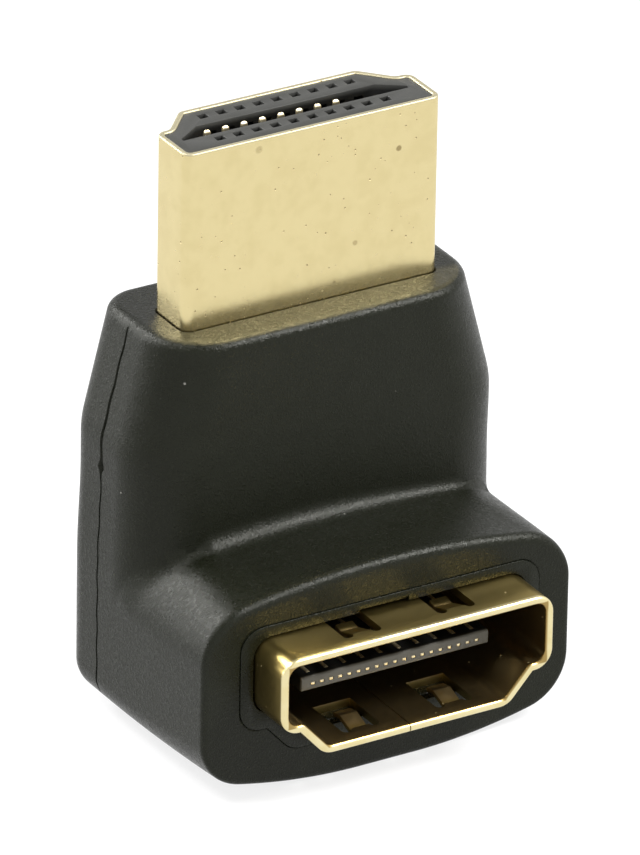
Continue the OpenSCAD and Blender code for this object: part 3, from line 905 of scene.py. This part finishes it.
partingLine = {
    "behindPlug": 0.12,
    "width": (0.13, 0.24),
    "floor": 0.04,
    "depth": (0.12, 0.17),
    "deepens": (12.5, 14.5),
    "low": 1.2,
    "above": 0.3,
    "out": 0.1,
    "steps": 90,
    "wave": 0.03,
    "waveLength": 2.3,
    "waveDrift": 0.7,
    "nickHeight": 13.6,
    "nickLength": 0.24,
    "nickWidth": 0.4,
    "nickDepth": 0.22,
}


def sideAt(side, z):  # the body's half width at a height, on the plug's axis plane
    p = np.array([[side * body["width"] / 2, plugY, z]])
    return float(abs(settle(bodyRule, p, body["settleRounds"][0])[0, 0]))


def groovePiece(side):  # a thin wedge let into the side along the mould's joint
    g = partingLine
    rings = []
    for z in np.linspace(g["low"], body["height"] + g["above"], g["steps"]):
        nick = math.exp(-(((z - g["nickHeight"]) / g["nickLength"]) ** 2)) if side < 0 else 0
        wave = g["wave"] * math.sin(2 * math.pi * z / g["waveLength"] + g["waveDrift"] * z)
        y = plugY + g["behindPlug"] + wave
        w = sideAt(side, min(z, body["height"] - body["edgeRadius"]))
        deep = float(smooth(z, *g["deepens"]))
        depth = between(g["depth"], deep) + g["nickDepth"] * nick
        half = (between(g["width"], deep) + g["nickWidth"] * nick) / 2
        floor = g["floor"]
        reach = floor + (half - floor) * (depth + g["out"]) / depth
        low, high = side * (w - depth), side * (w + g["out"])
        rings.append([(low, y - floor, z), (low, y + floor, z), (high, y + reach, z), (high, y - reach, z)])
    piece = ringPiece("groove", rings)
    turnOutwards(piece)
    return piece


def makeBody():
    piece = roughBody()
    relax(piece.data, bodyRule)
    print("body surface settled:", len(piece.data.polygons), "cells")
    hollowBody(piece)
    for side in (-1, 1):
        cut(piece, groovePiece(side))
    finishPiece(piece, "black_moulding", blackMoulding, body["sharp"], "overmould_body")


makeBody()


# Shells: one section swept round the outline

shell = {
    "plugRim": 0.08,
    "socketRim": 0.18,
    "rimSteps": 5,
    "seam": 0.05,
    "seamX": -0.4,
    "windowX": 2.57,
    "windowWidth": 2.05,
    "windowFront": 0.78,
    "windowBack": 3.7,
    "slotWidth": 0.53,
    "slotSteps": 12,
    "cutOver": 1.0,
    "sharp": 40,
}


def rimSection(grow, wall, low, high, r):  # a wall whose outer end has rounded edges
    turns = [math.pi / 2 * k / shell["rimSteps"] for k in range(shell["rimSteps"] + 1)]
    section = [(grow, low)]
    section += [(grow - r + r * math.cos(a), high - r + r * math.sin(a)) for a in turns]
    section += [(grow - wall + r - r * math.sin(a), high - r + r * math.cos(a)) for a in turns]
    return section + [(grow - wall, low)]


def makePlugShell():
    section = rimSection(0, outline["plugSheet"], plugLow[2], plugHigh[2], shell["plugRim"])
    piece = sweepOutline("plugShell", section, onPlug, closed=True)
    finishPiece(piece, "plug_plate", plugGold, shell["sharp"], "plug_shell")


makePlugShell()


# Strips of sheet that follow a bent path, in rows: contacts and springs

strips = {
    "bendSteps": 4,
    "edgeSteps": 2,
    "endSteps": 4,
    "leastEnd": 0.3,
}


def makeStripTree():
    graph, given, out = newGroup(
        "bentStrips",
        [
            ("Path", "Geometry"),
            ("Sheet", "Float"),
            ("Width", "Float"),
            ("Edge Radius", "Float"),
            ("Bend Radius", "Float"),
            ("Tip Length", "Float"),
            ("Count", "Int"),
            ("First Place", "Vector"),
            ("Pitch", "Vector"),
            ("Finish", "Material"),
        ],
        [("Strips", "Geometry")],
        "GeometryNodeTree",
    )

    def made(kind, values, output, **settings):
        return graph.node("GeometryNode" + kind, values, **settings).outputs[output]

    def rounded(curve, radius, steps):
        values = {"Curve": curve, "Radius": radius, "Count": steps, "Limit Radius": True}
        return made("FilletCurve", values, "Curve", mode="POLY")

    path = made("MeshToCurve", {"Mesh": given["Path"]}, "Curve")
    path = rounded(path, given["Bend Radius"], strips["bendSteps"])
    sizes = {"Width": given["Sheet"], "Height": given["Width"]}
    section = made("CurvePrimitiveQuadrilateral", sizes, "Curve")
    section = rounded(section, given["Edge Radius"], strips["edgeSteps"])

    along = made("SplineParameter", {}, "Length")
    whole = made("SplineLength", {}, "Length")
    left = graph.math("DIVIDE", graph.math("SUBTRACT", whole, along), given["Tip Length"])
    short = graph.math("SUBTRACT", 1.0, graph.math("MINIMUM", left, 1.0))
    shrink = graph.math("SQRT", graph.math("SUBTRACT", 1.0, graph.math("MULTIPLY", short, short)))
    shrink = graph.math("MAXIMUM", shrink, strips["leastEnd"])
    swept = {"Curve": path, "Profile Curve": section, "Scale": shrink, "Fill Caps": True}
    strip = made("CurveToMesh", swept, "Mesh")

    upright = {"Geometry": strip, "Rotation": (math.pi / 2, 0, math.pi / 2)}
    strip = made("Transform", upright, "Geometry")
    line = {"Count": given["Count"], "Start Location": given["First Place"], "Offset": given["Pitch"]}
    places = made("MeshLine", line, "Mesh", mode="OFFSET")
    row = made("InstanceOnPoints", {"Points": places, "Instance": strip}, "Instances")
    row = made("RealizeInstances", {"Geometry": row}, "Geometry")
    row = made("SetMaterial", {"Geometry": row, "Material": given["Finish"]}, "Geometry")
    graph.link(row, out["Strips"])
    return graph.tree


stripTree = makeStripTree()


def stripRow(path, first, count, strip, material):  # path: points of [y, z], first: the first one's x
    piece = newPiece("strips", [(y, z, 0) for y, z in path], [])
    mesh = bmesh.new()
    mesh.from_mesh(piece.data)
    mesh.verts.ensure_lookup_table()
    for k in range(len(path) - 1):
        mesh.edges.new((mesh.verts[k], mesh.verts[k + 1]))
    mesh.to_mesh(piece.data)
    mesh.free()
    modifier = piece.modifiers.new("strips", "NODES")
    modifier.node_group = stripTree
    values = {
        "Sheet": strip["sheet"],
        "Width": strip["width"],
        "Edge Radius": strip["edge"],
        "Bend Radius": strip["bend"],
        "Tip Length": strip["tip"],
        "Count": count,
        "First Place": (first, 0.0, 0.0),
        "Pitch": (strip["pitch"], 0.0, 0.0),
        "Finish": material,
    }
    for item in stripTree.interface.items_tree:
        if item.name in values:
            modifier[item.identifier] = values[item.name]
    bake(piece)
    turnOutwards(piece)
    return piece


def roundedEnd(path, length):  # adds the points along which a strip's end is rounded
    a, b = (np.array(p, float) for p in path[-2:])
    u = (a - b) / np.linalg.norm(a - b)
    turns = [math.pi / 2 * k / strips["endSteps"] for k in range(strips["endSteps"])]
    return path[:-1] + [tuple(b + u * length * (1 - math.sin(t))) for t in turns] + [path[-1]]


def makeContacts(name, node, contact, rows):  # rows: path, first one's x and count
    pieces = [stripRow(path, first, count, contact, contactGold) for path, first, count in rows]
    stoodFor = [f"{node}_{i + 1}" for i in range(contact["count"])]
    finishPiece(gather(name, pieces), "contact_plate", contactGold, contact["sharp"], *stoodFor)


plugContact = {
    "width": 0.34,
    "sheet": 0.2,
    "edge": 0.05,
    "bend": 0.3,
    "tip": 0.16,
    "count": 19,
    "pitch": 1.0,
    "high": 8,
    "highNose": 0.55,
    "lowNose": 1.1,
    "nose": 0.15,
    "highNoseAt": -0.08,
    "noseLength": 0.25,
    "tipRise": 0.4,
    "highTipRise": 0.46,
    "tipLean": 0.1,
    "frontPost": 1.12,
    "backPost": 1.34,
    "beamFoot": 5.0,
    "knee": 0.3,
    "sharp": 50,
}


def plugContactPath(side, noseDepth, nose, rise, lean):  # from the tail on the board to the tip
    c = plugContact
    tail = (boardHigh[1] - boardLow[1]) / 2 + c["sheet"] / 2
    post = (c["frontPost"] if side < 0 else c["backPost"]) - c["sheet"] / 2
    low, face = insulatorLow[2], insulatorHigh[2]
    path = [
        (tail, boxOf("plug_contact_1")[0][2]),
        (tail, low - c["knee"]),
        (post, low + 2 * c["knee"]),
        (post, face - c["beamFoot"]),
        (nose, face - noseDepth - c["noseLength"]),
        (nose, face - noseDepth),
        (nose + lean, face - noseDepth + rise),
    ]
    return roundedEnd([(plugY + side * y, z) for y, z in path], c["tip"])


def makePlugContacts():  # the front row's first ones stand higher than the rest
    c = plugContact
    front = (c["count"] + 1) // 2
    first = -(front - 1) * c["pitch"] / 2
    high = (c["highNose"], c["highNoseAt"], c["highTipRise"], 0)
    low = (c["lowNose"], c["nose"], c["tipRise"], c["tipLean"])
    makeContacts("plugContacts", "plug_contact", c, (
        (plugContactPath(-1, *high), first, c["high"]),
        (plugContactPath(-1, *low), first + c["high"] * c["pitch"], front - c["high"]),
        (plugContactPath(1, *low), first + c["pitch"] / 2, c["count"] - front),
    ))


makePlugContacts()


socketContact = {
    "width": 0.2,
    "sheet": 0.15,
    "edge": 0.03,
    "bend": 0.1,
    "tip": 0.05,
    "count": 19,
    "pitch": 1.0,
    "tongue": 0.72,
    "proud": 0.01,
    "nibLength": 0.17,
    "nibDrop": 0.04,
    "nibRamp": 0.34,
    "bendBack": 0.4,
    "footRise": 0.75,
    "footLength": 1.2,
    "sharp": 50,
}


def socketContactPath(side):  # from the foot on the board to the nib at the tongue's face
    c = socketContact
    skin = (c["tongue"] - c["sheet"]) / 2 + c["proud"]
    face = boxOf("socket_contact_1")[0][1]
    bend, foot = boardFace - c["bendBack"], boardFace - c["sheet"] / 2
    path = [
        (foot, c["footRise"] + c["footLength"]),
        (foot, c["footRise"]),
        (bend, c["footRise"]),
        (bend, skin),
        (face + c["nibLength"] + c["nibRamp"], skin),
        (face + c["nibLength"], -side * c["nibDrop"]),
        (face, -side * c["nibDrop"]),
    ]
    return roundedEnd([(y, socketZ + side * z) for y, z in path], c["tip"])


def makeSocketContacts():
    c = socketContact
    upper = (c["count"] + 1) // 2
    first = -(upper - 1) * c["pitch"] / 2
    makeContacts("socketContacts", "socket_contact", c, (
        (socketContactPath(1), first, upper),
        (socketContactPath(-1), first + c["pitch"] / 2, c["count"] - upper),
    ))


makeSocketContacts()


# The socket's shell, with its seam, windows and springs

spring = {
    "width": 0.95,
    "sheet": 0.24,
    "edge": 0.04,
    "bend": 0.1,
    "tip": 0.05,
    "count": 2,
    "pitch": 2 * shell["windowX"],
    "seat": 0.15,
    "root": 1.05,
    "reach": 1.67,
    "dip": 0.35,
    "end": 0.59,
    "rise": 0.12,
    "inset": 0.02,
}


def windowPlan(x):  # two slots with round ends, joined behind the spring's tip
    s = shell
    half, slot = s["windowWidth"] / 2, s["slotWidth"]
    back, root = rimY + s["windowBack"], rimY + spring["root"]
    middle = rimY + s["windowFront"] + slot / 2
    turns = [math.pi * (1 + k / s["slotSteps"]) for k in range(s["slotSteps"] + 1)]
    ends = [
        [(x + at + slot / 2 * math.cos(a), middle + slot / 2 * math.sin(a)) for a in turns]
        for at in (slot / 2 - half, half - slot / 2)
    ]
    roots = [(x - half + slot, root), (x + half - slot, root)]
    return [(x - half, back)] + ends[0] + roots + ends[1] + [(x + half, back)]


def springPath(side):
    p = spring
    top = outline["height"] / 2 + outline["gap"] + outline["socketSheet"] - p["sheet"] / 2 - p["inset"]
    root, tip = rimY + p["root"], rimY + p["root"] + p["reach"]
    path = [
        (root - p["seat"], top),
        (root + p["inset"], top),
        (tip - p["end"], top - p["dip"]),
        (tip, top - p["dip"] + p["rise"]),
    ]
    return roundedEnd([(y, socketZ + side * z) for y, z in path], p["tip"])


def makeSocketShell():
    s = shell
    sheet, depth, over = outline["socketSheet"], boardFace - rimY, s["cutOver"]
    section = rimSection(outline["gap"] + sheet, sheet, 0, depth, s["socketRim"])
    piece = sweepOutline("socketShell", section, onSocket, closed=True)
    low, high = socketZ - outline["height"], socketZ + outline["height"]
    for x in (-s["windowX"], s["windowX"]):
        cut(piece, slabPiece("window", windowPlan(x), low, high))
    left, right = s["seamX"] - s["seam"] / 2, s["seamX"] + s["seam"] / 2
    cut(piece, blockPiece("seam", (left, rimY - over, low), (right, boardFace + over, socketZ)))
    for side in (-1, 1):
        springs = stripRow(springPath(side), -s["windowX"], spring["count"], spring, socketGold)
        cut(piece, springs, "UNION")
    finishPiece(piece, "socket_plate", socketGold, s["sharp"], "socket_shell")


makeSocketShell()


# Pieces that keep the frame's own form

softened = {  # node: name, slot, finish, width of the rounded edges
    "inner_mould": ("innerMould", "inner_black", innerBlack, 0.025),
    "plug_insulator": ("plugInsulator", "plug_grey", plugGrey, 0.03),
    "socket_insulator": ("socketInsulator", "socket_grey", socketGrey, 0.02),
}

softening = {
    "merge": 1e-4,
    "flat": 0.5,
    "edge": 40,
    "steps": 2,
    "sharp": 35,
}


def softenedNode(node, name, width):  # a node's own form with its edges rounded
    s = softening
    mesh = bmesh.new()
    mesh.from_mesh(nodes[node].data)
    bmesh.ops.scale(mesh, vec=(1 / millimetre,) * 3, verts=mesh.verts)
    bmesh.ops.remove_doubles(mesh, verts=mesh.verts, dist=s["merge"])
    bmesh.ops.dissolve_limit(mesh, angle_limit=math.radians(s["flat"]), verts=mesh.verts, edges=mesh.edges)
    bmesh.ops.recalc_face_normals(mesh, faces=mesh.faces)
    piece = newPiece(name, [], [])
    mesh.to_mesh(piece.data)
    mesh.free()
    rounding = piece.modifiers.new("edges", "BEVEL")
    rounding.limit_method = "ANGLE"
    rounding.angle_limit = math.radians(s["edge"])
    rounding.width = width
    rounding.segments = s["steps"]
    rounding.use_clamp_overlap = False
    bake(piece)
    return piece


for node, (name, slot, material, width) in softened.items():
    finishPiece(softenedNode(node, name, width), slot, material, softening["sharp"], node)

board = nodes["circuit_board"].data  # keeps its shape and gets its lacquer
board.materials.clear()
board.materials.append(boardLacquer)


# Stage, light and background

stage = {
    "floor": 3.0,
    "floorColour": (0.9, 0.9, 0.9, 1),
    "floorRough": 0.9,
    "glow": 0.8,
    "white": 1.0,
    "shade": 0.26,
    "sweep": (0.5, 0.85),
    "aim": (0, 0, 0.012),
}


def seenRays(graph):  # rays that show the backdrop itself, and glossy ones
    rays = graph.node("ShaderNodeLightPath").outputs
    return graph.math("MAXIMUM", rays["Is Camera Ray"], rays["Is Transmission Ray"]), rays["Is Glossy Ray"]


def makeFloor():  # a pale floor that glows for the camera and stays white in the metal
    half = stage["floor"]
    floor = newPiece("floor", [(-half, -half, 0), (half, -half, 0), (half, half, 0), (-half, half, 0)],
                     [(0, 1, 2, 3)])
    material, graph, shader = newMaterial("floorWhite")
    graph.fill(shader, {"Base Color": stage["floorColour"], "Roughness": stage["floorRough"]})
    seen, glossy = seenRays(graph)
    share = graph.math("MAXIMUM", graph.math("MULTIPLY", seen, stage["glow"]), glossy)
    glow = graph.node("ShaderNodeEmission").outputs[0]
    mix = graph.node("ShaderNodeMixShader", {0: share, 1: shader.outputs[0], 2: glow})
    graph.fill(material.node_tree.nodes["Material Output"], {"Surface": mix.outputs[0]})
    floor.data.materials.append(material)


def makeWorld():  # white walls, shaded overhead, and white wherever it is seen
    world = bpy.data.worlds.new("studio")
    bpy.context.scene.world = world
    world.use_nodes = True
    graph = Graph(world.node_tree)
    direction = graph.node("ShaderNodeTexCoord").outputs["Generated"]
    up = graph.ramp(graph.axis(direction, 2), *stage["sweep"])
    walls = {"Value": up, "To Min": stage["white"], "To Max": stage["shade"]}
    light = graph.node("ShaderNodeMapRange", walls).outputs["Result"]
    graph.fill(world.node_tree.nodes["Background"], {
        "Color": (1, 1, 1, 1),
        "Strength": graph.math("MAXIMUM", light, seenRays(graph)[0]),
    })


lamps = {
    "overhead": {"place": (0.26, -0.24, 0.42), "size": (0.13, 0.16), "power": 4.5},
    "highLeft": {"place": (-0.25, 0.02, 0.43), "size": (0.1, 0.1), "power": 0.9},
    "backLeft": {"place": (-0.22, 0.36, 0.34), "size": (0.18, 0.14), "power": 2.6},
    "lowLeft": {"place": (-0.36, 0.42, 0.1), "size": (0.3, 0.14), "power": 1.1},
}


def makeLamp(name, place, size, power):
    data = bpy.data.lights.new(name, "AREA")
    data.shape = "RECTANGLE"
    data.size, data.size_y = size
    data.energy = power
    lamp = bpy.data.objects.new(name, data)
    bpy.context.scene.collection.objects.link(lamp)
    lamp.location = place
    aim = Vector(stage["aim"]) - lamp.location
    lamp.rotation_euler = aim.to_track_quat("-Z", "Y").to_euler()


makeFloor()
makeWorld()
for name, values in lamps.items():
    makeLamp(name, **values)
bpy.context.scene.view_settings.view_transform = "Standard"
print("stage and light set")
